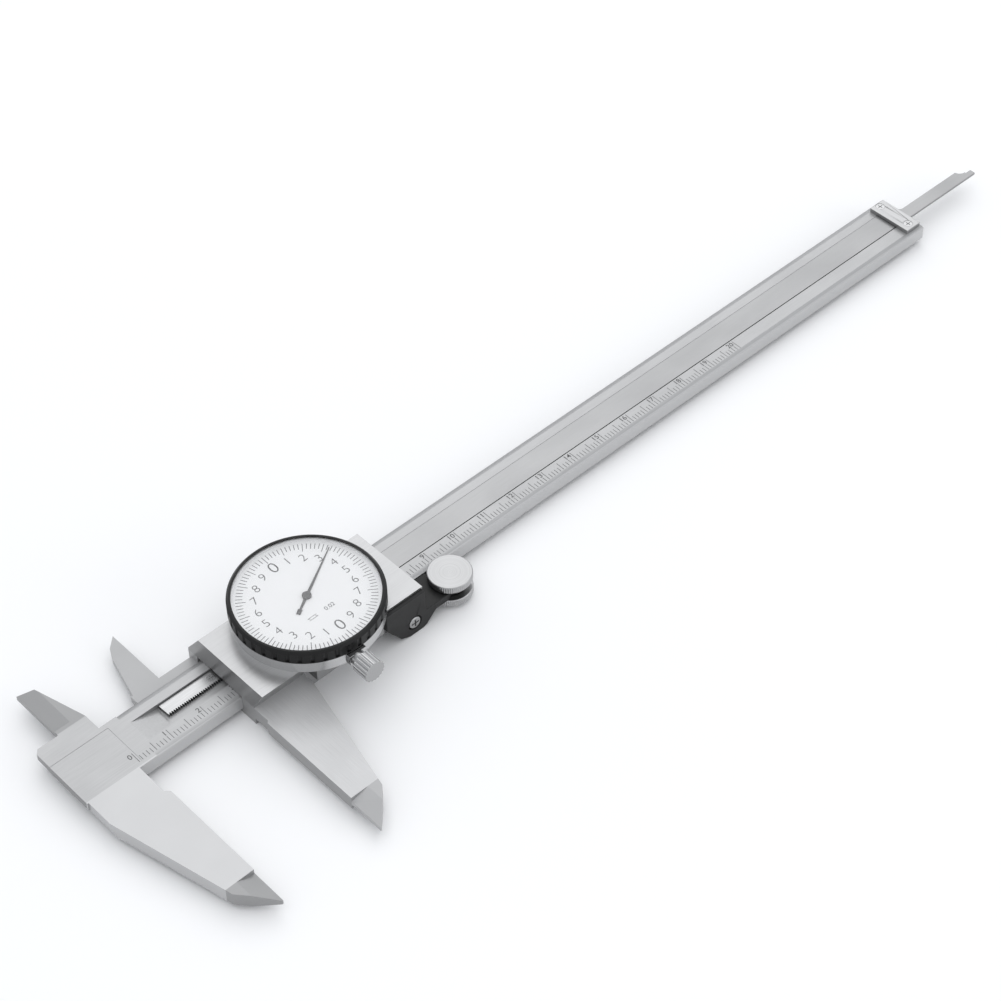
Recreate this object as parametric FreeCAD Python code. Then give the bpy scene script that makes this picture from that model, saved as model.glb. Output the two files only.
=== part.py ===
"""Dial caliper, 0 to 200 mm, 2 mm to a turn of the pointer. All lengths are in millimetres.

Each piece is drawn with X along the beam from the measuring face of the fixed outside jaw, Y across
the beam from its outside-jaw edge, and Z up from the face of the beam. Every piece is then moved so
that the origin is the middle of the fixed outside jaw's measuring face.
"""

import FreeCAD, Part
import math
import os

Vec = FreeCAD.Vector

# ---- driving dimensions -------------------------------------------------------------------------
OPENING = 28.33                # distance between the outside jaws as modelled

BEAM_WIDTH = 15.8
BEAM_THICK = 4.0
BEAM_END = 272.5               # distance from the fixed measuring face to the end of the beam
HEAD_LEFT = -16.0              # outer end of the fixed head
EDGE_BEVEL = (1.3, 0.35)       # width and depth of the bevel along both edges of the beam
BEVEL_START = 4.0

GROOVE = (5.05, 12.05)         # the rack and depth rod lie between these two walls
GROOVE_DEPTH = 1.6
GROOVE_START = 13.0            # the groove is full depth from here
RAMP_START = 5.4               # and slopes down to it from here

JAW_DEPTH = 50.0               # reach of the outside jaws below the beam
JAW_RELIEF = 10.2              # the measuring faces start this far below the beam
JAW_SLOPE = 0.236              # taper of the outer side of the outside jaws
JAW_ROOT_WIDTH = 15.6
TIP_START = 40.0               # the last stretch of each outside jaw is ground thinner
TIP_WIDTH = 0.3
TIP_GROUND = 4.9               # the facets are this wide, from the measuring face
TIP_FACET = 1.4                # and drop this far at the measuring face, above and below
INSIDE_OFFSET = -9.1           # the inside jaws sit this far from the outside faces
INSIDE_FACET = 4.4             # width of the facet that sharpens each inside jaw
FIXED_INSIDE = ((0, 37.3), (4.1, 35.7), (8.1, 20.9))               # from tip to root
MOVING_INSIDE = ((0, 37.7), (2.9, 35.0), (4.3, 32.3), (8.3, 17.4))
HALF_LEVEL = 2.0               # the inside jaws cross at this depth below the face
LEVEL_GAP = 0.05

RACK_START = 13.4
RACK_PITCH = 0.625
RACK_TEETH = 334
RACK_TIP_Y = 8.1
RACK_BACK_Y = 11.9
RACK_TOP = -0.6
TOOTH_DEPTH = 0.42
PINION_TEETH = 12              # 7.5 mm of travel to a turn of the drive arbor
WHEEL_TEETH = 75
CENTRE_TEETH = 20              # 2 mm of travel to a turn of the pointer
WHEEL_MODULE = 0.16

SLIDER_LEN = 49.4
SLIDER_RELIEF = 0.56           # the slider's end stands back from the measuring face
SLIDER_BACK = -5.8
SLIDER_FRONT = 0.15
SLIDER_LOW_Y = -4.6
SLIDER_HIGH_Y = 20.3
GIB = (BEAM_WIDTH + 0.05, BEAM_WIDTH + 1.05)

CASE_TOP = 7.5
CASE_TOP_Y = (-8.5, 15.3)
CASE_UNDERCUT_Y = -4.5         # foot of the case's outside-jaw wall, left of the dial
CASE_UNDERCUT_END = 45.0
CASE_SKIRT = 0.8

DIAL_X = OPENING + 25.2
DIAL_Y = 4.3
BASE_RADIUS = 18.75
BASE_TOP = 10.7
BEZEL_RADIUS = 19.05
BEZEL_BORE = 18.25
BEZEL_LIP = 17.9
BEZEL_Z = (10.8, 14.35)
BEZEL_ROUNDING = 0.6
GRIPS = 40
DIAL_Z = (12.5, 12.9)
CRYSTAL_Z = (13.5, 14.1)

ROD_Y = (5.2, 11.9)
ROD_Z = (-0.55, 0.15)
ROD_TONGUE = 9.1               # upper edge of the narrow tongue
ROD_START = OPENING + 38.0

ROLLER_RADIUS = 5.7
ROLLER_X = OPENING + 61.06
ROLLER_Y = -5.85
ROLLER_DISCS = ((-4.4, -2.4), (0.2, 2.2))
ARM_Z = (-2.2, -0.1)

RIGHT = OPENING + SLIDER_RELIEF + SLIDER_LEN
LEFT = OPENING + SLIDER_RELIEF

PIECES = {}


# ---- small helpers ------------------------------------------------------------------------------
def box(x0, x1, y0, y1, z0, z1):
    return Part.makeBox(x1 - x0, y1 - y0, z1 - z0, Vec(x0, y0, z0))


def rod_z(x, y, radius, z0, z1):
    return Part.makeCylinder(radius, z1 - z0, Vec(x, y, z0))


def rod_y(x, z, radius, y0, y1):
    return Part.makeCylinder(radius, y1 - y0, Vec(x, y0, z), Vec(0, 1, 0))


def cone_z(x, y, low_radius, high_radius, z0, z1):
    return Part.makeCone(low_radius, high_radius, z1 - z0, Vec(x, y, z0))


def plate(points, z0, z1):
    """A flat piece with the XY outline given, from z0 up to z1."""
    corners = [Vec(x, y, z0) for x, y in points]
    face = Part.Face(Part.makePolygon(corners + corners[:1]))
    return face.extrude(Vec(0, 0, z1 - z0))


def bar_x(points, x0, x1):
    """A straight piece with the YZ outline given, from x0 to x1."""
    corners = [Vec(x0, y, z) for y, z in points]
    face = Part.Face(Part.makePolygon(corners + corners[:1]))
    return face.extrude(Vec(x1 - x0, 0, 0))


def bar_y(points, y0, y1):
    """A straight piece with the XZ outline given, from y0 to y1."""
    corners = [Vec(x, y0, z) for x, z in points]
    face = Part.Face(Part.makePolygon(corners + corners[:1]))
    return face.extrude(Vec(0, y1 - y0, 0))


def join(*shapes):
    whole = shapes[0].multiFuse(list(shapes[1:]))
    return whole.removeSplitter()


def ring_points(radii, count, phase=0.0):
    """Points round a circle, taking the radii in turn; count is the number of repeats."""
    steps = len(radii) * count
    points = []
    for i in range(steps):
        angle = phase + 2 * math.pi * i / steps
        points.append((radii[i % len(radii)] * math.cos(angle), radii[i % len(radii)] * math.sin(angle)))
    return points


def gear(x, y, teeth, pitch_radius, addendum, z0, z1, phase, bore):
    """A spur wheel whose teeth are narrow enough to run freely; a tooth points along phase."""
    pitch = 2 * math.pi / teeth
    outline = []
    for i in range(teeth):
        middle = phase + i * pitch
        for offset, radius in ((-0.27, -1.25), (-0.1, 0.8), (0.1, 0.8), (0.27, -1.25)):
            angle = middle + offset * pitch
            reach = pitch_radius + radius * addendum
            outline.append((x + reach * math.cos(angle), y + reach * math.sin(angle)))
    wheel = plate(outline, z0, z1)
    if bore:
        wheel = wheel.cut(rod_z(x, y, bore, z0 - 1, z1 + 1))
    return wheel


def knurled_disc(x, y, radius, z0, z1):
    """A disc with a straight-knurled rim and softened corners."""
    teeth = [(x + px, y + py) for px, py in ring_points((radius, radius - 0.16), 64)]
    rim = 0.25
    shell = join(cone_z(x, y, radius - rim, radius, z0, z0 + rim),
                 rod_z(x, y, radius, z0 + rim, z1 - rim),
                 cone_z(x, y, radius, radius - rim, z1 - rim, z1))
    return plate(teeth, z0, z1).common(shell)


def fluted_knob(x, z, radius, y0, y1, flutes=18):
    """A thumb knob along Y, with round flutes cut into its side."""
    knob = rod_y(x, z, radius, y0, y1)
    for i in range(flutes):
        angle = 2 * math.pi * i / flutes
        reach = radius + 0.12
        knob = knob.cut(rod_y(x + reach * math.cos(angle), z + reach * math.sin(angle), 0.34, y0 - 1, y1 + 1))
    return knob


def cross_slot(x, y, z_top, size):
    arm = 0.14 * size
    depth = 0.28 * size
    return join(box(x - size, x + size, y - arm, y + arm, z_top - depth, z_top + 1),
                box(x - arm, x + arm, y - size, y + size, z_top - depth, z_top + 1))


def countersunk_screw(x, y, z_top, head, shank, tip):
    """A flush screw, head up, with a cross recess."""
    sink = head - shank
    screw = join(cone_z(x, y, shank, head, z_top - sink, z_top),
                 rod_z(x, y, shank, tip, z_top - sink))
    return screw.cut(cross_slot(x, y, z_top, 0.62 * head))


def save(name, *shapes):
    solids = [solid for shape in shapes for solid in shape.Solids]
    PIECES[name] = Part.makeCompound(solids) if len(solids) > 1 else solids[0]


# ---- outside and inside jaws --------------------------------------------------------------------
def outside_jaw(face_x, side, z0, z1):
    """An outside jaw; side is -1 for the fixed jaw, which stands left of its face, +1 for the other."""
    bend = 42.0
    root = JAW_ROOT_WIDTH
    outer = root - JAW_SLOPE * (bend - 8.0)
    back = 1.1 if side < 0 else SLIDER_RELIEF
    outline = [(back, 0), (back, -JAW_RELIEF + back), (0, -JAW_RELIEF), (0, -JAW_DEPTH),
               (TIP_WIDTH, -JAW_DEPTH), (outer - 2.4, -bend - 2.8), (outer, -bend), (root, -8.0), (root, 0)]
    jaw = plate([(face_x + side * d, y) for d, y in outline], z0, z1)
    flat = face_x + side * TIP_GROUND
    past = face_x - side
    drop = TIP_FACET * (TIP_GROUND + 1) / TIP_GROUND
    for z, way in ((z1, 1), (z0, -1)):
        facet = bar_y([(past, z - way * drop), (flat, z), (flat, z + way), (past, z + way)], -JAW_DEPTH - 1, -TIP_START)
        jaw = jaw.cut(facet)
    return jaw


def inside_jaw(edge_x, side, profile, z0, z1, edge_z, facet_z):
    """An inside jaw on the side given of edge_x; its facet runs from height edge_z there to facet_z."""
    tip = profile[0][1]
    root = profile[-1][0]
    outline = [(0, BEAM_WIDTH + 0.1)] + list(profile) + [(root, BEAM_WIDTH + 0.1)]
    jaw = plate([(edge_x + side * d, y) for d, y in outline], z0, z1)
    run = edge_x + side * INSIDE_FACET
    beyond = facet_z + math.copysign(1.0, facet_z - edge_z)
    facet = bar_y([(edge_x - side, edge_z), (edge_x, edge_z), (run, facet_z), (run, beyond), (edge_x - side, beyond)],
                  22.0, tip + 1)
    return jaw.cut(facet)


# ---- beam, with the fixed jaws ------------------------------------------------------------------
def make_beam():
    beam = box(HEAD_LEFT, BEAM_END, 0, BEAM_WIDTH, -BEAM_THICK, 0)
    head = plate([(HEAD_LEFT, 0), (HEAD_LEFT, 19.4), (HEAD_LEFT + 1.1, 20.6), (INSIDE_OFFSET + 0.05, 20.6),
                  (INSIDE_OFFSET + 4.0, 18.0), (-1.0, 18.0), (-1.0, 0)], -HALF_LEVEL + LEVEL_GAP, 0)
    low = -HALF_LEVEL + LEVEL_GAP
    fixed_inside = inside_jaw(INSIDE_OFFSET, 1, FIXED_INSIDE, low, 0, low + 1.25, 0)
    whole = join(beam, head, fixed_inside, outside_jaw(0.0, -1, -BEAM_THICK, 0))

    width, depth = EDGE_BEVEL
    for y, inner in ((0.0, width), (BEAM_WIDTH, BEAM_WIDTH - width)):
        outside = y - math.copysign(1.0, inner - y)
        bevel = bar_x([(inner, 0), (y, -depth), (outside, -depth), (outside, 1), (inner, 1)], BEVEL_START, BEAM_END + 1)
        whole = whole.cut(bevel)

    low, high = GROOVE
    floor = -GROOVE_DEPTH
    groove = box(GROOVE_START, BEAM_END + 1, low, high, floor, 1)
    ramp = bar_y([(RAMP_START, 0), (GROOVE_START, floor), (GROOVE_START, 1), (RAMP_START, 1)], low, high)
    whole = whole.cut(groove).cut(ramp)

    band = box(HEAD_LEFT - 1, 0.6, width, 14.4, -0.08, 1)
    whole = whole.cut(band)
    back_bevel = bar_y([(HEAD_LEFT - 1, -2.3), (HEAD_LEFT, -2.3), (HEAD_LEFT + 1.3, -BEAM_THICK),
                        (HEAD_LEFT + 1.3, -BEAM_THICK - 1), (HEAD_LEFT - 1, -BEAM_THICK - 1)], -9.0, BEAM_WIDTH + 1)
    whole = whole.cut(back_bevel)

    for x in RACK_SCREWS_X:
        whole = whole.cut(rod_z(x, RACK_MIDDLE_Y, 0.6, -3.4, 0))
    for y in END_SCREWS_Y:
        whole = whole.cut(rod_z(END_SCREW_X, y, 0.7, -2.4, 1))
    save("beam_with_fixed_jaws", whole)


# ---- rack ---------------------------------------------------------------------------------------
RACK_MIDDLE_Y = 10.1
RACK_SCREWS_X = (RACK_START + 14.2, 92.0, 154.0, 216.0)


def make_rack():
    outline = [(RACK_START, RACK_BACK_Y)]
    for i in range(RACK_TEETH):
        tooth = RACK_START + (i + 0.5) * RACK_PITCH
        for offset, y in ((-0.27, RACK_TIP_Y + TOOTH_DEPTH), (-0.1, RACK_TIP_Y),
                          (0.1, RACK_TIP_Y), (0.27, RACK_TIP_Y + TOOTH_DEPTH)):
            outline.append((tooth + offset * RACK_PITCH, y))
    outline.append((RACK_START + RACK_TEETH * RACK_PITCH, RACK_BACK_Y))
    rack = plate(outline, -GROOVE_DEPTH, RACK_TOP)
    screws = []
    for x in RACK_SCREWS_X:
        rack = rack.cut(cone_z(x, RACK_MIDDLE_Y, 0.6, 1.15, RACK_TOP - 0.55, RACK_TOP))
        rack = rack.cut(rod_z(x, RACK_MIDDLE_Y, 0.6, -GROOVE_DEPTH - 1, RACK_TOP))
        screws.append(countersunk_screw(x, RACK_MIDDLE_Y, RACK_TOP, 1.15, 0.6, -3.4))
    save("rack", rack)
    save("rack_screws", *screws)


# ---- end plate ----------------------------------------------------------------------------------
END_PLATE_X = (266.6, 271.9)
END_PLATE_Y = (1.0, 14.6)
END_SCREW_X = 269.2
END_SCREWS_Y = (3.0, 13.2)


def make_end_plate():
    x0, x1 = END_PLATE_X
    y0, y1 = END_PLATE_Y
    bridge = box(x0, x1, y0, y1, 0, 1.3).cut(box(x0 - 1, x1 + 1, *GROOVE, -1, ROD_Z[1] + 0.1))
    bevel = EDGE_BEVEL[0]
    foot = box(x0, x1, 0, bevel, -1, 0)
    bridge = bridge.cut(foot)
    screws = []
    for y in END_SCREWS_Y:
        bridge = bridge.cut(cone_z(END_SCREW_X, y, 0.7, 1.25, 0.6, 1.15)).cut(rod_z(END_SCREW_X, y, 1.25, 1.15, 2))
        bridge = bridge.cut(rod_z(END_SCREW_X, y, 0.7, -1, 1))
        screws.append(countersunk_screw(END_SCREW_X, y, 1.15, 1.25, 0.7, -2.4))
    save("end_plate", bridge)
    save("end_plate_screws", *screws)


# ---- slider with the moving jaws ----------------------------------------------------------------
CASE_SCREWS = ((LEFT + 4.6, 18.3), (RIGHT - 4.2, 18.3), (LEFT + 4.6, -2.4), (LEFT + 40.5, -2.4))
GIB_SCREWS_X = (LEFT + 8.0, RIGHT - 9.0)
LOCK_X = DIAL_X
LOCK_Z = -2.6


def make_slider_frame():
    block = box(LEFT, RIGHT, SLIDER_LOW_Y, SLIDER_HIGH_Y, SLIDER_BACK, SLIDER_FRONT)
    jaw = outside_jaw(OPENING, 1, -BEAM_THICK, 0)
    top = -HALF_LEVEL - LEVEL_GAP
    inside_x = OPENING + INSIDE_OFFSET
    inside = inside_jaw(inside_x, -1, MOVING_INSIDE, -BEAM_THICK, top, top - 0.25, -BEAM_THICK)
    arm = box(inside_x - MOVING_INSIDE[-1][0], LEFT + 1, BEAM_WIDTH + 0.1, 19.6, -BEAM_THICK, top)
    whole = join(block, jaw, inside, arm)
    channel = box(LEFT - 40, RIGHT + 1, -0.05, GIB[0], -BEAM_THICK - 0.05, 2)
    pocket = box(LEFT, RIGHT + 1, GIB[0] - 0.1, GIB[1], -BEAM_THICK - 0.05, 2)
    whole = whole.cut(channel).cut(pocket)
    for x, y in CASE_SCREWS:
        whole = whole.cut(rod_z(x, y, 0.8, SLIDER_BACK - 1, 1)).cut(rod_z(x, y, 1.5, SLIDER_BACK - 1, SLIDER_BACK + 0.9))
    for x in GIB_SCREWS_X:
        whole = whole.cut(rod_y(x, LOCK_Z, 0.8, GIB[1] - 0.2, SLIDER_HIGH_Y + 1))
    whole = whole.cut(rod_y(LOCK_X, LOCK_Z, 1.25, GIB[1] - 0.2, SLIDER_HIGH_Y + 1))
    whole = whole.cut(rod_y(SIDE_SCREW[0], SIDE_SCREW[1], 0.8, SLIDER_LOW_Y - 1, SLIDER_LOW_Y + 3.2))
    save("slider_frame", whole)


def make_slider_fittings():
    y0, y1 = GIB
    gib = box(LEFT + 0.6, RIGHT - 0.6, y0, y1, -BEAM_THICK, -0.1)
    save("gib_strip", gib)

    set_screws = []
    for x in GIB_SCREWS_X:
        screw = rod_y(x, LOCK_Z, 0.8, y1, SLIDER_HIGH_Y - 0.3)
        slot = box(x - 2, x + 2, SLIDER_HIGH_Y - 0.8, SLIDER_HIGH_Y, LOCK_Z - 0.12, LOCK_Z + 0.12)
        set_screws.append(screw.cut(slot))
    save("gib_set_screws", *set_screws)

    knob = fluted_knob(LOCK_X, LOCK_Z, 3.0, SLIDER_HIGH_Y + 0.6, SLIDER_HIGH_Y + 5.4)
    stem = rod_y(LOCK_X, LOCK_Z, 1.2, y1 + 0.05, SLIDER_HIGH_Y + 1)
    save("slider_lock_screw", join(knob, stem))

    screws = []
    for x, y in CASE_SCREWS:
        head = rod_z(x, y, 1.45, SLIDER_BACK + 0.1, SLIDER_BACK + 0.9)
        shank = rod_z(x, y, 0.8, SLIDER_BACK + 0.8, 1.6)
        slot = box(x - 2, x + 2, y - 0.18, y + 0.18, SLIDER_BACK - 1, SLIDER_BACK + 0.5)
        screws.append(join(head, shank).cut(slot))
    save("case_screws", *screws)


# ---- movement case ------------------------------------------------------------------------------
CAVITY_X = (DIAL_X - 15.0, DIAL_X + 15.0)
CAVITY_Y = (-3.4, 13.6)


def make_case():
    low, high = CASE_TOP_Y
    foot = SLIDER_FRONT
    section = [(low, foot), (low, CASE_TOP), (high, CASE_TOP), (SLIDER_HIGH_Y - 0.1, CASE_SKIRT),
               (SLIDER_HIGH_Y - 0.1, foot)]
    case = bar_x(section, LEFT, RIGHT)
    undercut = [(low - 1, CASE_TOP), (low, CASE_TOP), (CASE_UNDERCUT_Y, foot), (CASE_UNDERCUT_Y, foot - 1),
                (low - 1, foot - 1)]
    case = case.cut(bar_x(undercut, LEFT - 1, CASE_UNDERCUT_END))

    x0, x1 = CAVITY_X
    y0, y1 = CAVITY_Y
    case = case.cut(box(x0, x1, y0, y1, foot - 1, CASE_TOP + 1))
    case = case.cut(box(LEFT - 1, RIGHT + 1, GROOVE[0] - 0.1, GROOVE[1] + 0.1, foot - 1, ROD_Z[1] + 0.25))
    pocket_x = BRACKET_X - 0.1
    case = case.cut(box(pocket_x, RIGHT + 1, low - 1, BRACKET_INNER_Y, foot - 1, BRACKET_TOP))
    for x, y in CASE_SCREWS:
        case = case.cut(rod_z(x, y, 0.8, foot - 1, 1.6))
    for x, y in PLATE_SCREWS:
        case = case.cut(rod_z(x, y, 0.5, 5.4, CASE_TOP + 1))
    save("movement_case", case)


# ---- movement -----------------------------------------------------------------------------------
RACK_PITCH_LINE = RACK_TIP_Y + 0.2
PINION_RADIUS = PINION_TEETH * RACK_PITCH / (2 * math.pi)
DRIVE_Y = RACK_PITCH_LINE - PINION_RADIUS
WHEEL_RADIUS = WHEEL_MODULE * WHEEL_TEETH / 2
CENTRE_RADIUS = WHEEL_MODULE * CENTRE_TEETH / 2
DRIVE_X = DIAL_X - math.sqrt((WHEEL_RADIUS + CENTRE_RADIUS) ** 2 - (DRIVE_Y - DIAL_Y) ** 2)
LOWER_PLATE_Z = (1.2, 2.0)
UPPER_PLATE_Z = (5.6, 6.4)
PILLARS = ((CAVITY_X[0] + 2.2, -1.4), (CAVITY_X[1] - 2.6, -1.4), (CAVITY_X[1] - 2.6, 11.6))
PLATE_SCREWS = ((DIAL_X - 16.2, DIAL_Y), (DIAL_X + 16.2, DIAL_Y))


def mesh_phases():
    """Start angles that put a tooth of each wheel in a gap of the one it runs with."""
    along_rack = (DRIVE_X - RACK_START) / RACK_PITCH
    gap_offset = (along_rack - math.floor(along_rack)) * RACK_PITCH
    pinion = math.pi / 2 + gap_offset / PINION_RADIUS
    line = math.atan2(DIAL_Y - DRIVE_Y, DIAL_X - DRIVE_X)
    wheel = line
    centre = line + math.pi + math.pi / CENTRE_TEETH
    return pinion, wheel, centre


def make_movement():
    x0, x1 = CAVITY_X
    y0, y1 = CAVITY_Y
    edge = 0.15
    pinion_phase, wheel_phase, centre_phase = mesh_phases()

    lower = box(x0 + edge, x1 - edge, y0 + edge, y1 - edge, *LOWER_PLATE_Z)
    lower = lower.cut(rod_z(DRIVE_X, DRIVE_Y, 0.66, 0, 3)).cut(rod_z(DIAL_X, DIAL_Y, 0.45, 0, 3))
    upper = box(x0 + edge, x1 - edge, y0 + edge, y1 - edge, *UPPER_PLATE_Z)
    upper = upper.cut(rod_z(DRIVE_X, DRIVE_Y, 0.45, 5, 7)).cut(rod_z(DIAL_X, DIAL_Y, 0.66, 5, 7))
    posts = []
    screws = []
    for x, y in PILLARS:
        posts.append(rod_z(x, y, 1.1, LOWER_PLATE_Z[1], UPPER_PLATE_Z[0]).cut(rod_z(x, y, 0.5, 4.2, 6)))
        upper = upper.cut(rod_z(x, y, 0.5, 5, 7))
        head = rod_z(x, y, 0.95, UPPER_PLATE_Z[1], UPPER_PLATE_Z[1] + 0.6)
        slot = box(x - 1, x + 1, y - 0.12, y + 0.12, UPPER_PLATE_Z[1] + 0.3, UPPER_PLATE_Z[1] + 1)
        screws.append(join(head, rod_z(x, y, 0.5, 4.2, UPPER_PLATE_Z[1] + 0.1)).cut(slot))
    save("movement_lower_plate", lower)
    save("movement_upper_plate", upper)
    save("movement_pillars", *posts)
    save("movement_screws", *screws)

    arbor = join(rod_z(DRIVE_X, DRIVE_Y, 0.6, -1.5, 5.5), rod_z(DRIVE_X, DRIVE_Y, 0.4, 5.5, 6.4))
    pinion = gear(DRIVE_X, DRIVE_Y, PINION_TEETH, PINION_RADIUS, 0.2, -1.5, -0.7, pinion_phase, 0)
    save("rack_pinion_arbor", join(arbor, pinion))
    drive = gear(DRIVE_X, DRIVE_Y, WHEEL_TEETH, WHEEL_RADIUS, WHEEL_MODULE, 3.0, 3.4, wheel_phase, 0.6)
    save("drive_wheel", drive)
    take_up = gear(DRIVE_X, DRIVE_Y, WHEEL_TEETH, WHEEL_RADIUS, WHEEL_MODULE, 3.42, 3.8, wheel_phase, 0.6)
    save("anti_backlash_wheel", take_up)
    loop = Part.makeTorus(3.6, 0.22, Vec(DRIVE_X, DRIVE_Y, 4.05), Vec(0, 0, 1), 0, 360, 300)
    save("anti_backlash_spring", loop)

    centre = gear(DIAL_X, DIAL_Y, CENTRE_TEETH, CENTRE_RADIUS, WHEEL_MODULE, 2.6, 4.3, centre_phase, 0)
    staff = join(rod_z(DIAL_X, DIAL_Y, 0.4, 1.2, 2.1), rod_z(DIAL_X, DIAL_Y, 0.6, 2.1, 11.8),
                 rod_z(DIAL_X, DIAL_Y, 0.35, 11.8, 13.3))
    save("pointer_arbor", join(centre, staff))


# ---- dial, bezel and pointer --------------------------------------------------------------------
def make_dial():
    x, y = DIAL_X, DIAL_Y
    base = rod_z(x, y, BASE_RADIUS, CASE_TOP, BASE_TOP)
    spigot = rod_z(x, y, BEZEL_BORE - 0.1, BASE_TOP, 12.3)
    cup = rod_z(x, y, 17.2, CASE_TOP + 0.8, 13)
    base = join(base, spigot).cut(cup).cut(rod_z(x, y, 2.0, CASE_TOP - 1, 13))
    screws = []
    for px, py in PLATE_SCREWS:
        base = base.cut(rod_z(px, py, 0.5, CASE_TOP - 1, 10))
        head = rod_z(px, py, 0.85, CASE_TOP + 0.8, CASE_TOP + 1.4)
        screws.append(join(head, rod_z(px, py, 0.5, 5.4, CASE_TOP + 0.9)))
    save("dial_base_ring", base)
    save("dial_base_screws", *screws)

    body = rod_z(x, y, BEZEL_RADIUS, *BEZEL_Z)
    rim = [e for e in body.Edges if e.BoundBox.ZMin > BEZEL_Z[1] - 1e-6]
    body = body.makeChamfer(BEZEL_ROUNDING, rim)
    body = body.cut(rod_z(x, y, BEZEL_BORE, BEZEL_Z[0] - 1, CRYSTAL_Z[1])).cut(rod_z(x, y, BEZEL_LIP, 10, 16))
    grip = 0.75
    cuts = []
    for i in range(GRIPS):
        angle = 2 * math.pi * i / GRIPS
        reach = BEZEL_RADIUS + grip - 0.3
        cuts.append(rod_z(x + reach * math.cos(angle), y + reach * math.sin(angle), grip,
                          BEZEL_Z[0] + 0.35, BEZEL_Z[1] - BEZEL_ROUNDING))
    save("bezel_ring", body.cut(Part.makeCompound(cuts)))

    face = rod_z(x, y, BEZEL_BORE - 0.03, *DIAL_Z).cut(rod_z(x, y, 1.1, 12, 14))
    save("dial_plate", face)
    spacer = rod_z(x, y, BEZEL_BORE - 0.03, DIAL_Z[1], CRYSTAL_Z[0]).cut(rod_z(x, y, BEZEL_LIP, 12, 14))
    save("crystal_spacer_ring", spacer)
    save("crystal", rod_z(x, y, BEZEL_BORE - 0.03, *CRYSTAL_Z))


POINTER_REACH = 16.1
POINTER_Z = (12.98, 13.12)
HUB_Z = (12.98, 13.4)


def make_pointer():
    hub = rod_z(DIAL_X, DIAL_Y, 1.15, *HUB_Z)
    hub = hub.cut(rod_z(DIAL_X, DIAL_Y, 0.36, 12.9, 13.3))
    hand = plate([(-0.38, -0.5), (-0.24, -4.4), (-0.55, -4.5), (-0.5, -6.0), (0.5, -6.0), (0.55, -4.5), (0.24, -4.4),
                  (0.38, -0.5), (0.1, POINTER_REACH), (-0.1, POINTER_REACH)], *POINTER_Z)
    turns = OPENING / 2.0
    hand.rotate(Vec(0, 0, 0), Vec(0, 0, 1), -360.0 * (turns - math.floor(turns)))
    hand.translate(Vec(DIAL_X, DIAL_Y, 0))
    hand = hand.cut(rod_z(DIAL_X, DIAL_Y, 0.36, 12.9, 13.3))
    save("pointer", join(hub, hand))


# ---- bezel clamp --------------------------------------------------------------------------------
CLAMP_X = DIAL_X - 1.7
CLAMP_Z = 9.25


def make_bezel_clamp():
    face_y = DIAL_Y - BASE_RADIUS
    block = box(CLAMP_X - 2.1, CLAMP_X + 2.9, face_y - 1.2, face_y + 2.5, CASE_TOP + 0.3, BASE_TOP - 0.1)
    block = block.cut(rod_z(DIAL_X, DIAL_Y, BASE_RADIUS + 0.02, 7, 12))
    block = block.cut(rod_y(CLAMP_X, CLAMP_Z, 1.28, -30, 0))
    save("bezel_clamp_block", block)
    knob = fluted_knob(CLAMP_X, CLAMP_Z, 2.9, face_y - 7.4, face_y - 3.0)
    collar = rod_y(CLAMP_X, CLAMP_Z, 2.0, face_y - 3.2, face_y - 1.4)
    stem = rod_y(CLAMP_X, CLAMP_Z, 1.2, face_y - 2.4, face_y - 0.12)
    save("bezel_clamp_screw", join(knob, collar, stem))


# ---- depth rod ----------------------------------------------------------------------------------
ROD_SCREWS_X = (RIGHT - 7.5, RIGHT - 3.5)


def make_depth_rod():
    low, high = ROD_Y
    z0, z1 = ROD_Z
    end = BEAM_END + OPENING - 0.1
    wide_end = BEAM_END + 0.1
    corner = 1.7
    tongue = ROD_TONGUE
    strip = box(ROD_START, wide_end, low, high, z0, z1)
    blade = box(wide_end, end, low, tongue, z0, z1)
    web = box(wide_end, wide_end + corner, tongue, tongue + corner, z0, z1)
    web = web.cut(rod_z(wide_end + corner, tongue + corner, corner, z0 - 1, z1 + 1))
    notch = box(end - 1.9, end + 1, low + 1.7, high, z0 - 1, z1 + 1)
    round_notch = rod_z(end - 1.9, tongue + 0.4, 2.2, z0 - 1, z1 + 1).common(box(end - 9, end, low + 1.7, high, z0, z1))
    rod = join(strip, blade, web).cut(notch).cut(round_notch)
    screws = []
    for x in ROD_SCREWS_X:
        rod = rod.cut(rod_z(x, 8.5, 0.5, z0 - 1, z1 + 1))
        screws.append(rod_z(x, 8.5, 0.5, z0, z1 + 0.25))
    save("depth_rod", rod)
    save("depth_rod_rivets", *screws)


# ---- thumb roller -------------------------------------------------------------------------------
BRACKET_X = 65.9
BRACKET_TOP = 6.9
BRACKET_INNER_Y = SLIDER_LOW_Y
BRACKET_FRONT_Y = -9.6
SIDE_SCREW = (74.6, -1.9)


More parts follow.
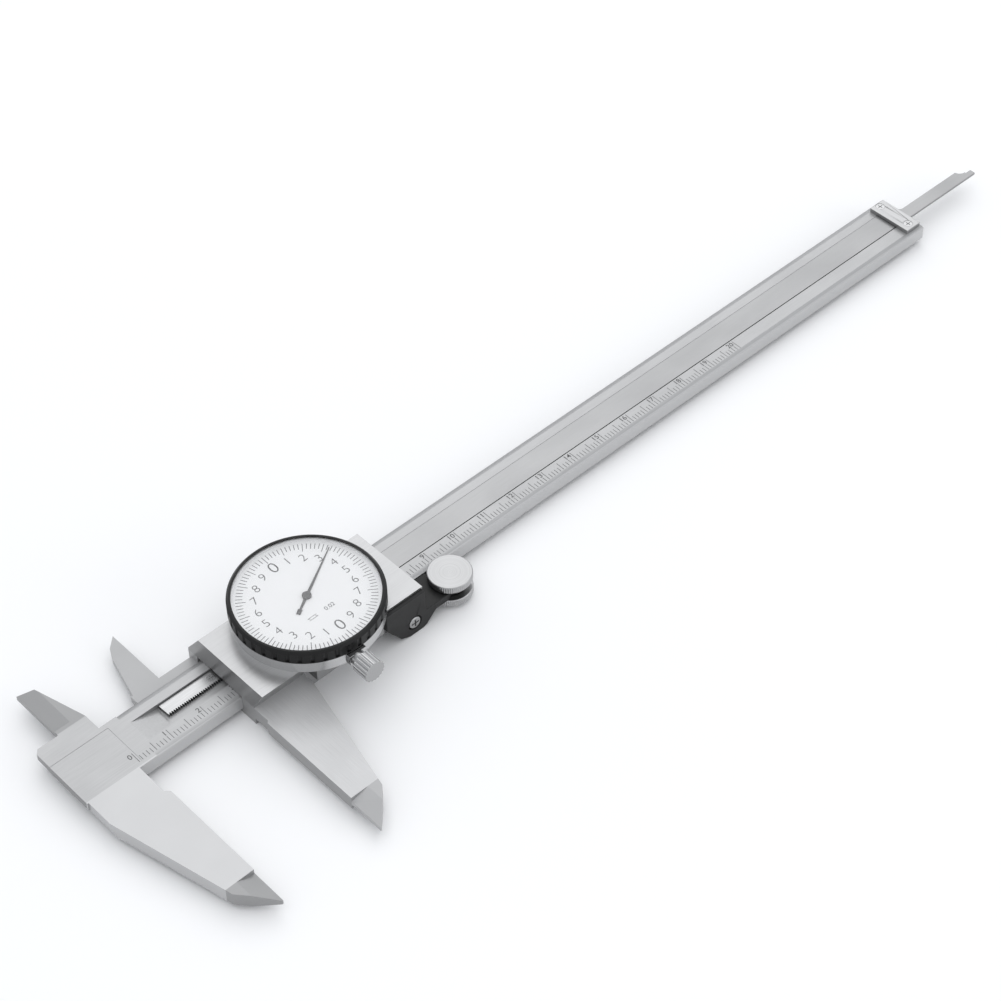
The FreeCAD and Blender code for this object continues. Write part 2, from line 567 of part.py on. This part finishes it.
def make_roller():
    right = RIGHT + 0.1
    side = [(BRACKET_X, BRACKET_TOP), (right - 0.3, BRACKET_TOP), (right, ARM_Z[1]), (86.0, ARM_Z[1]), (86.0, ARM_Z[0]),
            (81.6, ARM_Z[0]), (78.4, -5.3), (77.2, -5.8), (73.0, -5.8), (70.2, -4.6), (BRACKET_X, 1.6)]
    front = bar_y(side, BRACKET_FRONT_Y, BRACKET_INNER_Y)
    bridge = box(right, 86.0, BRACKET_FRONT_Y, -0.5, *ARM_Z)
    arm = box(86.0, ROLLER_X, ROLLER_Y - 3.3, ROLLER_Y + 3.3, *ARM_Z)
    boss = rod_z(ROLLER_X, ROLLER_Y, 3.9, *ARM_Z)
    bracket = join(front, bridge, arm, boss)
    bracket = bracket.cut(rod_z(ROLLER_X, ROLLER_Y, 1.28, -10, 10))
    x, z = SIDE_SCREW
    bracket = bracket.cut(rod_y(x, z, 2.05, BRACKET_FRONT_Y - 1, BRACKET_FRONT_Y + 0.8))
    bracket = bracket.cut(rod_y(x, z, 0.8, BRACKET_FRONT_Y, 0))
    save("roller_bracket", bracket)

    head = rod_y(x, z, 1.75, BRACKET_FRONT_Y - 0.1, BRACKET_FRONT_Y + 0.8)
    dome = [e for e in head.Edges if e.BoundBox.YMax < BRACKET_FRONT_Y]
    head = head.makeFillet(0.35, dome)
    arm_half = 0.24
    slot_depth = 0.5
    y0 = BRACKET_FRONT_Y - 1
    y1 = BRACKET_FRONT_Y - 0.1 + slot_depth
    head = head.cut(box(x - 1.15, x + 1.15, y0, y1, z - arm_half, z + arm_half))
    head = head.cut(box(x - arm_half, x + arm_half, y0, y1, z - 1.15, z + 1.15))
    save("roller_bracket_screw", join(head, rod_y(x, z, 0.8, BRACKET_FRONT_Y + 0.7, SLIDER_LOW_Y + 3.2)))

    (low0, low1), (high0, high1) = ROLLER_DISCS
    lower = knurled_disc(ROLLER_X, ROLLER_Y, ROLLER_RADIUS, low0, low1)
    axle = rod_z(ROLLER_X, ROLLER_Y, 1.2, low1 - 0.1, high0)
    save("thumb_roller_lower_disc", join(lower, axle))
    upper = knurled_disc(ROLLER_X, ROLLER_Y, ROLLER_RADIUS, high0, high1)
    dish = cone_z(ROLLER_X, ROLLER_Y, 0.001, 4.9, high1 - 0.18, high1 + 0.001)
    save("thumb_roller_upper_disc", upper.cut(dish))


# ---- build, then move to the origin -------------------------------------------------------------
def main():
    make_beam()
    make_rack()
    make_end_plate()
    make_slider_frame()
    make_slider_fittings()
    make_case()
    make_movement()
    make_dial()
    make_pointer()
    make_bezel_clamp()
    make_depth_rod()
    make_roller()

    shift = Vec(0, (JAW_RELIEF + JAW_DEPTH) / 2, BEAM_THICK / 2)
    os.makedirs("parts", exist_ok=True)
    for name, shape in PIECES.items():
        shape.translate(shift)
        shape.exportStep("parts/" + name + ".step")


main()
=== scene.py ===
import math

import bmesh
import bpy
from mathutils import Matrix, Vector


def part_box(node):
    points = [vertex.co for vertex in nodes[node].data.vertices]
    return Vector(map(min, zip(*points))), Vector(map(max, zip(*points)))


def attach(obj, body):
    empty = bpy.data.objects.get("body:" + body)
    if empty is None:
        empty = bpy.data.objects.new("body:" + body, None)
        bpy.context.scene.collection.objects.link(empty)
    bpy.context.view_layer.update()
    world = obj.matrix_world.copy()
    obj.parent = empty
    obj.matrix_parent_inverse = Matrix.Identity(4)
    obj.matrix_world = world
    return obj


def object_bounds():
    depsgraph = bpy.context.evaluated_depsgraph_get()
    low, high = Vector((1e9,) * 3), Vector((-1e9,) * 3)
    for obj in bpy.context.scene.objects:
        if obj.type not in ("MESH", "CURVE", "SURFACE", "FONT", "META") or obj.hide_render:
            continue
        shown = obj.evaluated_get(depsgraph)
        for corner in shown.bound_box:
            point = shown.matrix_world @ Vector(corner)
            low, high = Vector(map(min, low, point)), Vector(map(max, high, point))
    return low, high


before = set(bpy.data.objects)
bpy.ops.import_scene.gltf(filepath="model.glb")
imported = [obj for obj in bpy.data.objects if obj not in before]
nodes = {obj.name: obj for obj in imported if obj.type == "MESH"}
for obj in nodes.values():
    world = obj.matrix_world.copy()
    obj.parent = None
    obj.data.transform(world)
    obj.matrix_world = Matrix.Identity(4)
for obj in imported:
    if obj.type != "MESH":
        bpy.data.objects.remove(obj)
cad_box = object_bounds()
MM = 0.001

# ---- places, all read from the frame ------------------------------------------------------------
beam_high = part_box("beam_with_fixed_jaws")[1]
plate_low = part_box("end_plate")[0]
dial_low, dial_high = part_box("dial_plate")
roller_low, roller_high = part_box("thumb_roller_upper_disc")
dial_centre = (dial_low + dial_high) / 2
roller_centre = (roller_low + roller_high) / 2
PLATE_INSET = 1.0 * MM                     # from the beam's outside-jaw edge to the end plate
BEAM_EDGE_Y = plate_low.y - PLATE_INSET
BEAM_TOP = beam_high.z


def at(x, y, z=0.0):
    """A point given in millimetres along the beam, across it from its edge, and above its face."""
    return Vector((x * MM, BEAM_EDGE_Y + y * MM, BEAM_TOP + z * MM))


# ---- shader building ----------------------------------------------------------------------------
class Finish:
    """A material under construction: a Principled shader plus helpers that add and join nodes."""

    def __init__(self, name, **sockets):
        self.material = bpy.data.materials.new(name)
        self.material.use_nodes = True
        self.tree = self.material.node_tree
        self.shader = self.tree.nodes["Principled BSDF"]
        for socket, value in sockets.items():
            self.shader.inputs[socket.replace("_", " ")].default_value = value

    def node(self, kind, inputs=(), **settings):
        made = self.tree.nodes.new(kind)
        for key, value in settings.items():
            setattr(made, key, value)
        for key, value in dict(inputs).items():
            if isinstance(value, bpy.types.NodeSocket):
                self.tree.links.new(value, made.inputs[key])
            else:
                made.inputs[key].default_value = value
        return made

    def place(self, scale=(1, 1, 1), origin=(0, 0, 0)):
        """Object coordinates in millimetres, moved so that origin is zero, then scaled."""
        coordinates = self.node("ShaderNodeTexCoord").outputs["Object"]
        shift = {0: coordinates, 1: Vector(origin)}
        moved = self.node("ShaderNodeVectorMath", shift, operation="SUBTRACT")
        inputs = {0: moved.outputs[0], 1: Vector(scale) / MM}
        return self.node("ShaderNodeVectorMath", inputs, operation="MULTIPLY").outputs[0]

    def axis(self, name, vector=None):
        return self.node("ShaderNodeSeparateXYZ", {0: vector or self.place()}).outputs[name]

    def noise(self, scale, detail=2.0, roughness=0.5, distortion=0.0, vector=None):
        inputs = {"Vector": vector or self.place(scale), "Scale": 1.0, "Detail": detail,
                  "Roughness": roughness, "Distortion": distortion}
        return self.node("ShaderNodeTexNoise", inputs).outputs["Fac"]

    def ramp(self, value, low, high, to_low=0.0, to_high=1.0):
        inputs = {"Value": value, "From Min": low, "From Max": high, "To Min": to_low, "To Max": to_high}
        return self.node("ShaderNodeMapRange", inputs, clamp=True).outputs[0]

    def maths(self, operation, first, second=0.0):
        return self.node("ShaderNodeMath", {0: first, 1: second}, operation=operation).outputs[0]

    def blend(self, factor, first, second):
        """A colour between first and second, each a socket or a grey tone."""
        ends = [end if isinstance(end, bpy.types.NodeSocket) else grey(end) for end in (first, second)]
        # a colour mix takes its two colours on inputs 6 and 7, and gives its result on output 2
        return self.node("ShaderNodeMix", {0: factor, 6: ends[0], 7: ends[1]}, data_type="RGBA").outputs[2]

    def bump(self, height, distance, strength):
        inputs = {"Height": height, "Distance": distance, "Strength": strength}
        return self.node("ShaderNodeBump", inputs).outputs[0]

    def feed(self, socket, value):
        self.tree.links.new(value, self.shader.inputs[socket])


COOL_CAST = 1.004              # blue against red and green in every grey


def grey(tone):
    return (tone, tone, tone * COOL_CAST, 1.0)


# noise cells per millimetre along X, Y and Z; the small number is the way the grain runs
GRAIN_X = (0.12, 7.0, 7.0)
GRAIN_Y = (7.0, 0.12, 7.0)
GRAIN_Z = (7.0, 7.0, 0.12)
BLAST = (9.0, 9.0, 9.0)        # no direction
STAIN = (0.05, 0.09, 0.09)
GRAIN_DEPTH = 0.004 * MM
GRAIN_STRENGTH = 0.10
WALL_SHADE_START, WALL_SHADE_FULL = 0.75, 0.35         # vertical part of the normal where a face turns steep enough to get painted shade, and where that shade is full
ZONE_BLUR = 0.03                           # millimetres on each side of a tone change


def metal(name, tone, rough, grain, side, contrast=0.16, zones=(), metallic=1.0):
    """Ground or satin metal with a long grain.

    side is the walls' tone against the top's: painted shade, darker steep faces standing in for the light
    they get
    less of. Each zone is (edge, sign, factor): past the line Y = edge, on the side that sign gives, the tone
    is multiplied by factor.
    """
    finish = Finish(name, Metallic=metallic, Roughness=rough)
    lines = finish.noise(grain, detail=4.0, roughness=0.65)
    speckle = finish.noise(BLAST, detail=2.0)
    clouds = finish.noise(STAIN, detail=3.0, distortion=0.4)
    tint = finish.blend(finish.ramp(lines, 0.3, 0.7), tone * (1 - contrast / 2), tone * (1 + contrast / 2))
    tint = finish.blend(finish.ramp(clouds, 0.35, 0.7, 0.0, 0.10), tint, tone * 0.7)
    # painted shade: steep faces are darkened to side times the tone, standing in for the light that falls
    # less on walls
    normal = finish.node("ShaderNodeNewGeometry").outputs["Normal"]
    vertical = finish.maths("ABSOLUTE", finish.axis("Z", normal))
    wall_shade_mask = finish.ramp(vertical, WALL_SHADE_START, WALL_SHADE_FULL)
    tint = finish.blend(wall_shade_mask, tint, tone * side)
    for edge, sign, factor in zones:
        signed_place = finish.maths("MULTIPLY", finish.axis("Y"), float(sign))
        mask = finish.ramp(signed_place, sign * edge - ZONE_BLUR, sign * edge + ZONE_BLUR)
        tint = finish.blend(mask, tint, tone * factor)
    finish.feed("Base Color", tint)
    line_gloss = finish.ramp(lines, 0.2, 0.8, 0.92, 1.1)
    cloud_gloss = finish.ramp(clouds, 0.3, 0.7, 0.92, 1.12)
    worn = finish.maths("MULTIPLY", line_gloss, cloud_gloss)
    finish.feed("Roughness", finish.maths("MULTIPLY", worn, rough))
    height = finish.maths("ADD", finish.ramp(lines, 0.2, 0.8), finish.ramp(speckle, 0.3, 0.7, 0.0, 0.6))
    finish.feed("Normal", finish.bump(height, GRAIN_DEPTH, GRAIN_STRENGTH))
    return finish.material


RING_SCALE = 4.0               # noise cells per millimetre outwards


def turned_metal(name, tone, rough, centre):
    """Bright steel turned in a lathe: fine rings about a vertical axis at centre, with conical gloss."""
    finish = Finish(name, Metallic=1.0, Roughness=rough, Anisotropic=0.75)
    flattened = {0: finish.place(origin=centre), 1: (1, 1, 0)}
    flat = finish.node("ShaderNodeVectorMath", flattened, operation="MULTIPLY")
    radius = finish.node("ShaderNodeVectorMath", {0: flat.outputs[0]}, operation="LENGTH").outputs["Value"]
    spread = finish.node("ShaderNodeCombineXYZ", {"X": radius})
    scaled = finish.node("ShaderNodeVectorMath", {0: spread.outputs[0], 1: (RING_SCALE, 1, 1)},
                         operation="MULTIPLY")
    ring = finish.noise(None, detail=3.0, vector=scaled.outputs[0])
    finish.feed("Base Color", finish.blend(finish.ramp(ring, 0.3, 0.7), tone * 0.86, tone * 1.1))
    finish.feed("Roughness", finish.ramp(ring, 0.25, 0.75, rough * 0.85, rough * 1.15))
    finish.feed("Normal", finish.bump(ring, 0.01 * MM, 0.25))
    finish.feed("Tangent", finish.node("ShaderNodeTangent", direction_type="RADIAL", axis="Z").outputs[0])
    return finish.material


PORES = (1.6, 1.6, 1.6)


def moulded(name, tone, rough, depth=0.02):
    """Moulded or anodised part: pores that deep in millimetres, uneven gloss and paler worn patches."""
    finish = Finish(name, Roughness=rough, Specular_IOR_Level=0.3)
    grain = finish.noise(PORES, detail=4.0, roughness=0.6)
    clouds = finish.noise((0.18, 0.18, 0.18), detail=3.0)
    tint = finish.blend(finish.ramp(grain, 0.3, 0.75), tone * 0.8, tone * 1.25)
    finish.feed("Base Color", finish.blend(finish.ramp(clouds, 0.5, 0.8, 0.0, 0.5), tint, tone * 1.7))
    finish.feed("Roughness", finish.ramp(clouds, 0.3, 0.7, rough * 0.85, rough * 1.2))
    finish.feed("Normal", finish.bump(grain, depth * MM, 0.35))
    return finish.material


def enamel(name, tone):
    """Pale paint: almost even in tone, with a faint orange peel in its gloss."""
    finish = Finish(name, Roughness=0.42)
    peel = finish.noise((1.1, 1.1, 1.1), detail=2.0)
    clouds = finish.noise((0.1, 0.1, 0.1), detail=2.0)
    finish.feed("Base Color", finish.blend(finish.ramp(clouds, 0.3, 0.7), tone * 0.985, tone))
    finish.feed("Roughness", finish.ramp(peel, 0.3, 0.7, 0.38, 0.48))
    finish.feed("Normal", finish.bump(peel, 0.004 * MM, 0.2))
    return finish.material


def ink(name, tone):
    """Dark filled line: paint in an engraved or printed mark, a little uneven."""
    finish = Finish(name, Roughness=0.6)
    wear = finish.noise((2.2, 2.2, 2.2), detail=3.0)
    finish.feed("Base Color", finish.blend(finish.ramp(wear, 0.35, 0.7), tone * 0.75, tone * 1.4))
    finish.feed("Roughness", finish.ramp(wear, 0.3, 0.7, 0.5, 0.7))
    return finish.material


def clear(name):
    """The thin clear crystal, with a faint haze."""
    finish = Finish(name, Roughness=0.04, Alpha=0.07)
    haze = finish.noise((0.35, 0.35, 0.35), detail=3.0)
    finish.feed("Roughness", finish.ramp(haze, 0.35, 0.75, 0.03, 0.08))
    finish.feed("Base Color", finish.blend(haze, 0.92, 0.97))
    return finish.material


# ---- finishes -----------------------------------------------------------------------------------
def edge_y(offset):
    """Object-space Y, in millimetres, of a line that far across the beam from its edge."""
    return (BEAM_EDGE_Y / MM) + offset


# lines across the beam, in millimetres from its edge, where the tone changes
JAW_START = 0.4                # the fixed outside jaw, on its far side, is brighter
BEAM_INSIDE_JAW_START = 20.9   # both inside jaws are darker
SLIDER_INSIDE_JAW_START = 15.7
NIB_START = -40.0              # the outside jaws' nibs are darker


def make_finishes():
    nibs = (edge_y(NIB_START), -1, 0.72)
    beam_zones = [(edge_y(JAW_START), -1, 1.18), (edge_y(BEAM_INSIDE_JAW_START), 1, 0.70), nibs]
    slider_zones = [(edge_y(SLIDER_INSIDE_JAW_START), 1, 0.72), nibs]
    # each metal: tone, roughness, grain, and its walls' tone against its top's, which is painted shade
    beam = metal("ground_beam", 0.44, 0.36, GRAIN_X, 0.60, metallic=0.55, zones=beam_zones)
    slider = metal("ground_slider_jaws", 0.57, 0.40, GRAIN_Y, 0.56, metallic=0.35, zones=slider_zones)
    case = metal("satin_case", 0.50, 0.30, GRAIN_X, 0.60, metallic=0.75)
    ring = metal("satin_base_ring", 0.58, 0.22, GRAIN_Z, 0.95, contrast=0.08)
    rod = metal("satin_depth_rod", 0.37, 0.36, GRAIN_X, 0.8, contrast=0.10)
    # the rack's walls at a quarter of its top's tone are a painted shadow along its teeth
    rack = metal("bright_rack", 0.52, 0.30, GRAIN_X, 0.25, contrast=0.30)
    plate = metal("satin_end_plate", 0.48, 0.30, GRAIN_Y, 0.7)
    screw = metal("turned_screw_steel", 0.52, 0.24, BLAST, 0.7)
    knob = metal("bright_knob_steel", 0.44, 0.24, GRAIN_Y, 0.9, contrast=0.14)
    brass = metal("turned_brass", 0.5, 0.28, BLAST, 0.85)
    blued = metal("blued_spring_steel", 0.22, 0.25, BLAST, 0.9)
    roller = turned_metal("turned_roller_steel", 0.46, 0.30, roller_centre)
    black = moulded("black_moulding", 0.010, 0.42)
    bezel = moulded("black_bezel", 0.004, 0.40, depth=0.012)
    spacer = enamel("pale_spacer", 0.72)
    hand = moulded("grey_pointer_enamel", 0.07, 0.35, depth=0.004)
    return {
        "beam_with_fixed_jaws": beam, "slider_frame": slider, "movement_case": case, "rack": rack,
        "end_plate": plate, "depth_rod": rod, "depth_rod_rivets": rod, "dial_base_ring": ring,
        "bezel_clamp_block": ring, "rack_screws": screw, "end_plate_screws": screw, "case_screws": screw,
        "gib_set_screws": screw, "movement_screws": screw, "dial_base_screws": screw,
        "rack_pinion_arbor": screw, "roller_bracket_screw": knob, "bezel_clamp_screw": knob,
        "slider_lock_screw": knob, "gib_strip": brass, "movement_lower_plate": brass,
        "movement_upper_plate": brass, "movement_pillars": brass, "pointer_arbor": brass,
        "drive_wheel": brass, "anti_backlash_wheel": brass, "anti_backlash_spring": blued,
        "thumb_roller_lower_disc": roller, "thumb_roller_upper_disc": roller, "roller_bracket": black,
        "bezel_ring": bezel, "crystal_spacer_ring": spacer, "pointer": hand,
        "dial_plate": enamel("white_dial_enamel", 0.80), "crystal": clear("clear_crystal"),
    }


def dress_cad_nodes():
    for name, material in make_finishes().items():
        for slot in nodes[name].material_slots:
            slot.material = material


# ---- softened edges on the CAD pieces -----------------------------------------------------------
EDGE_WIDTHS = {                # in millimetres
    "beam_with_fixed_jaws": 0.09, "slider_frame": 0.09, "movement_case": 0.14, "end_plate": 0.12,
    "depth_rod": 0.05, "roller_bracket": 0.22, "bezel_clamp_block": 0.08, "roller_bracket_screw": 0.05,
}


SHARP_EDGE = math.radians(38)  # only edges that turn by more than this are softened
WELD_GAP = 0.0005 * MM


def soften_edges():
    for name, width in EDGE_WIDTHS.items():
        weld = nodes[name].modifiers.new("weld", "WELD")
        weld.merge_threshold = WELD_GAP
        bevel = nodes[name].modifiers.new("edge", "BEVEL")
        bevel.width = width * MM
        bevel.segments = 2
        bevel.limit_method = "ANGLE"
        bevel.angle_limit = SHARP_EDGE


# ---- marks --------------------------------------------------------------------------------------
MARK_HEIGHT = 0.012 * MM       # marks stand proud of their face by this much


def piece(name, mesh, material, body):
    made = bpy.data.objects.new(name, mesh)
    bpy.context.scene.collection.objects.link(made)
    made.data.materials.append(material)
    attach(made, body)
    return made


def add_bar(build, start, end, width):
    """A raised line from start to end, both points on the surface it stands on."""
    along = (end - start).normalized()
    across = Vector((-along.y, along.x, 0)) * (width / 2)
    foot = [start - across, end - across, end + across, start + across]
    low = [build.verts.new(p) for p in foot]
    high = [build.verts.new(p + Vector((0, 0, MARK_HEIGHT))) for p in foot]
    build.faces.new(high)
    build.faces.new(low[::-1])
    for i in range(4):
        j = (i + 1) % 4
        build.faces.new((low[i], low[j], high[j], high[i]))


def add_text(build, body, size, place, weight=0.0):
    """Solid figures, upright with their tops towards +Y, centred on place; weight thickens their strokes."""
    curve = bpy.data.curves.new("figures", "FONT")
    curve.body = body
    curve.offset = weight / size
    curve.align_x = "CENTER"
    curve.align_y = "CENTER"
    curve.extrude = MARK_HEIGHT / 2 / size
    curve.resolution_u = 4
    holder = bpy.data.objects.new("figures", curve)
    bpy.context.scene.collection.objects.link(holder)
    bpy.context.view_layer.update()
    mesh = bpy.data.meshes.new_from_object(holder)
    mesh.transform(Matrix.Translation(place + Vector((0, 0, MARK_HEIGHT / 2))) @ Matrix.Scale(size, 4))
    build.from_mesh(mesh)
    bpy.data.objects.remove(holder)
    bpy.data.curves.remove(curve)
    bpy.data.meshes.remove(mesh)


def to_mesh(build, name):
    mesh = bpy.data.meshes.new(name)
    build.to_mesh(mesh)
    build.free()
    return mesh


SCALE_LENGTH = 200             # this and the next five lengths are in millimetres, for at()
TICK_START = 1.4
TEN_END, FIVE_END, ONE_END = 4.65, 4.2, 3.0
SCALE_FIGURE_Y = 3.9
ONE_DIGIT_ASIDE, TWO_DIGITS_ASIDE = 0.95, 1.45     # a figure's middle stands that far before its tick
HEAD_BAND_LEVEL = -0.08        # the ground band across the fixed head, where the zero tick stands
TICK_WIDTH = 0.15 * MM
SCALE_FIGURE_SIZE = 2.1 * MM
SCALE_FIGURE_WEIGHT = 0.02 * MM


def beam_scale():
    """Millimetre marks from 0 to 200, with a figure at each ten."""
    ticks = bmesh.new()
    figures = bmesh.new()
    for i in range(SCALE_LENGTH + 1):
        end = TEN_END if i % 10 == 0 else FIVE_END if i % 5 == 0 else ONE_END
        level = HEAD_BAND_LEVEL if i == 0 else 0.0
        add_bar(ticks, at(i, TICK_START, level), at(i, end, level), TICK_WIDTH)
        if i % 10 == 0:
            figure = str(i // 10)
            aside = ONE_DIGIT_ASIDE if len(figure) == 1 else TWO_DIGITS_ASIDE
            place = at(i - aside, SCALE_FIGURE_Y, level)
            add_text(figures, figure, SCALE_FIGURE_SIZE, place, SCALE_FIGURE_WEIGHT)
    paint = ink("scale_fill", 0.10)
    piece("beam_scale_marks", to_mesh(ticks, "beam_scale_marks"), paint, "beam")
    piece("beam_scale_figures", to_mesh(figures, "beam_scale_figures"), paint, "beam")


DIVISIONS = 100
DIAL_OUTER = 16.9 * MM         # radius at the divisions' outer ends
FIVE_LENGTH, ONE_LENGTH = 2.5 * MM, 1.7 * MM
DIVISION_WIDTH = 0.17 * MM
DIAL_FIGURES = 12.3 * MM       # radius at the figures' middles
ZERO_SIZE, DIAL_FIGURE_SIZE = 4.9 * MM, 3.5 * MM
DIAL_FIGURE_WEIGHT = -0.05 * MM
VALUE_X, VALUE_Y, VALUE_SIZE = 1.9 * MM, -6.1 * MM, 1.7 * MM      # the division value
ARROWS_X, ARROW_APART = -3.2 * MM, 0.35 * MM                      # two arrows beside it, one above the other
ARROW_REACH, ARROW_WIDTH = 1.3 * MM, 0.12 * MM
BARB_X, BARB_Y = -0.55 * MM, 0.35 * MM


def on_dial(x, y):
    """The point on the dial's face that far from its centre."""
    return Vector((dial_centre.x + x, dial_centre.y + y, dial_high.z))


def round_dial(radius, turns):
    """The point on the dial's face that far from its centre, turned clockwise from +Y."""
    angle = 2 * math.pi * turns
    return on_dial(radius * math.sin(angle), radius * math.cos(angle))


def dial_marks():
    """The divisions, two runs of the figures 0 to 9 clockwise, and the division value with two arrows."""
    ticks = bmesh.new()
    figures = bmesh.new()
    for i in range(DIVISIONS):
        length = FIVE_LENGTH if i % 5 == 0 else ONE_LENGTH
        turns = i / DIVISIONS
        add_bar(ticks, round_dial(DIAL_OUTER - length, turns), round_dial(DIAL_OUTER, turns), DIVISION_WIDTH)
    for i in range(20):
        size = ZERO_SIZE if i % 10 == 0 else DIAL_FIGURE_SIZE
        add_text(figures, str(i % 10), size, round_dial(DIAL_FIGURES, i / 20), DIAL_FIGURE_WEIGHT)
    add_text(figures, "0.02", VALUE_SIZE, on_dial(VALUE_X, VALUE_Y))
    for side in (-1, 1):
        middle = on_dial(ARROWS_X, VALUE_Y - ARROW_APART * side)
        reach = Vector((ARROW_REACH, 0, 0))
        add_bar(figures, middle - reach, middle + reach, ARROW_WIDTH)
        tip = middle + reach * side
        add_bar(figures, tip, tip + Vector((BARB_X, BARB_Y, 0)) * side, ARROW_WIDTH)
    paint = ink("dial_print", 0.05)
    piece("dial_divisions", to_mesh(ticks, "dial_divisions"), paint, "bezel")
    piece("dial_figures", to_mesh(figures, "dial_figures"), paint, "bezel")


# ---- floor, light and camera --------------------------------------------------------------------
def look_from(place, target):
    return (target - place).to_track_quat("-Z", "Y").to_euler()


FLOOR_GAP = 0.02 * MM
FLOOR_REACH = 3.0              # metres from the origin to each side


def make_floor():
    level = cad_box[0].z - FLOOR_GAP
    corners = [(x * FLOOR_REACH, y * FLOOR_REACH, level) for x, y in ((-1, -1), (1, -1), (1, 1), (-1, 1))]
    mesh = bpy.data.meshes.new("floor")
    mesh.from_pydata(corners, [], [(0, 1, 2, 3)])
    floor = bpy.data.objects.new("floor", mesh)
    bpy.context.scene.collection.objects.link(floor)
    finish = Finish("pale_floor", Roughness=0.7)
    soft = finish.noise((0.004, 0.004, 0.004), detail=1.0)
    finish.feed("Base Color", finish.blend(soft, 0.90, 0.93))
    mesh.materials.append(finish.material)


def area_light(name, place, target, size, power):
    data = bpy.data.lights.new(name, "AREA")
    data.shape = "RECTANGLE"
    data.size, data.size_y = size
    data.energy = power
    lamp = bpy.data.objects.new(name, data)
    lamp.location = place
    lamp.rotation_euler = look_from(place, target)
    bpy.context.scene.collection.objects.link(lamp)


# name, place in metres from the object's middle, width and height in metres, power in watts
PANELS = (
    ("panel_behind", (0.75, 0.9, 1.25), (1.5, 1.1), 4.9),
    ("panel_above", (-0.1, -0.1, 1.5), (1.6, 1.6), 6.2),
    ("panel_front", (0.55, -1.3, 0.5), (1.0, 0.6), 2.3),
)
WORLD_COLOUR = (0.95, 0.97, 1.0, 1.0)
WORLD_STRENGTH = 0.80


def make_lights():
    middle = (cad_box[0] + cad_box[1]) / 2
    for name, offset, size, power in PANELS:
        area_light(name, middle + Vector(offset), middle, size, power)
    world = bpy.data.worlds.new("soft_studio")
    world.use_nodes = True
    background = world.node_tree.nodes["Background"]
    background.inputs["Color"].default_value = WORLD_COLOUR
    background.inputs["Strength"].default_value = WORLD_STRENGTH
    bpy.context.scene.world = world
    bpy.context.scene.view_settings.view_transform = "Standard"


CAMERA_AZIMUTH = -41.942       # degrees
CAMERA_ELEVATION = 46.423
CAMERA_ROLL = -1.384
CAMERA_DISTANCE = 0.63965      # metres
CAMERA_LENS = 91.72
SENSOR = 36.0
CAMERA_TARGET = (115.91, 4.565)            # on the beam's face, in millimetres, for at()


def make_camera():
    azimuth, elevation, roll = map(math.radians, (CAMERA_AZIMUTH, CAMERA_ELEVATION, CAMERA_ROLL))
    look = Vector((-math.sin(azimuth) * math.cos(elevation), math.cos(azimuth) * math.cos(elevation),
                   -math.sin(elevation)))
    level = Vector((math.cos(azimuth), math.sin(azimuth), 0))
    rise = level.cross(look)
    right = math.cos(roll) * level + math.sin(roll) * rise
    up = math.cos(roll) * rise - math.sin(roll) * level
    data = bpy.data.cameras.new("camera")
    data.sensor_width = SENSOR
    data.lens = CAMERA_LENS
    data.clip_start = 0.01
    camera = bpy.data.objects.new("camera", data)
    turn = Matrix((right, up, -look)).transposed()
    camera.matrix_world = Matrix.Translation(at(*CAMERA_TARGET) - look * CAMERA_DISTANCE) @ turn.to_4x4()
    bpy.context.scene.collection.objects.link(camera)
    bpy.context.scene.camera = camera


# ---- build --------------------------------------------------------------------------------------
dress_cad_nodes()
soften_edges()
beam_scale()
dial_marks()
make_floor()
make_lights()
make_camera()
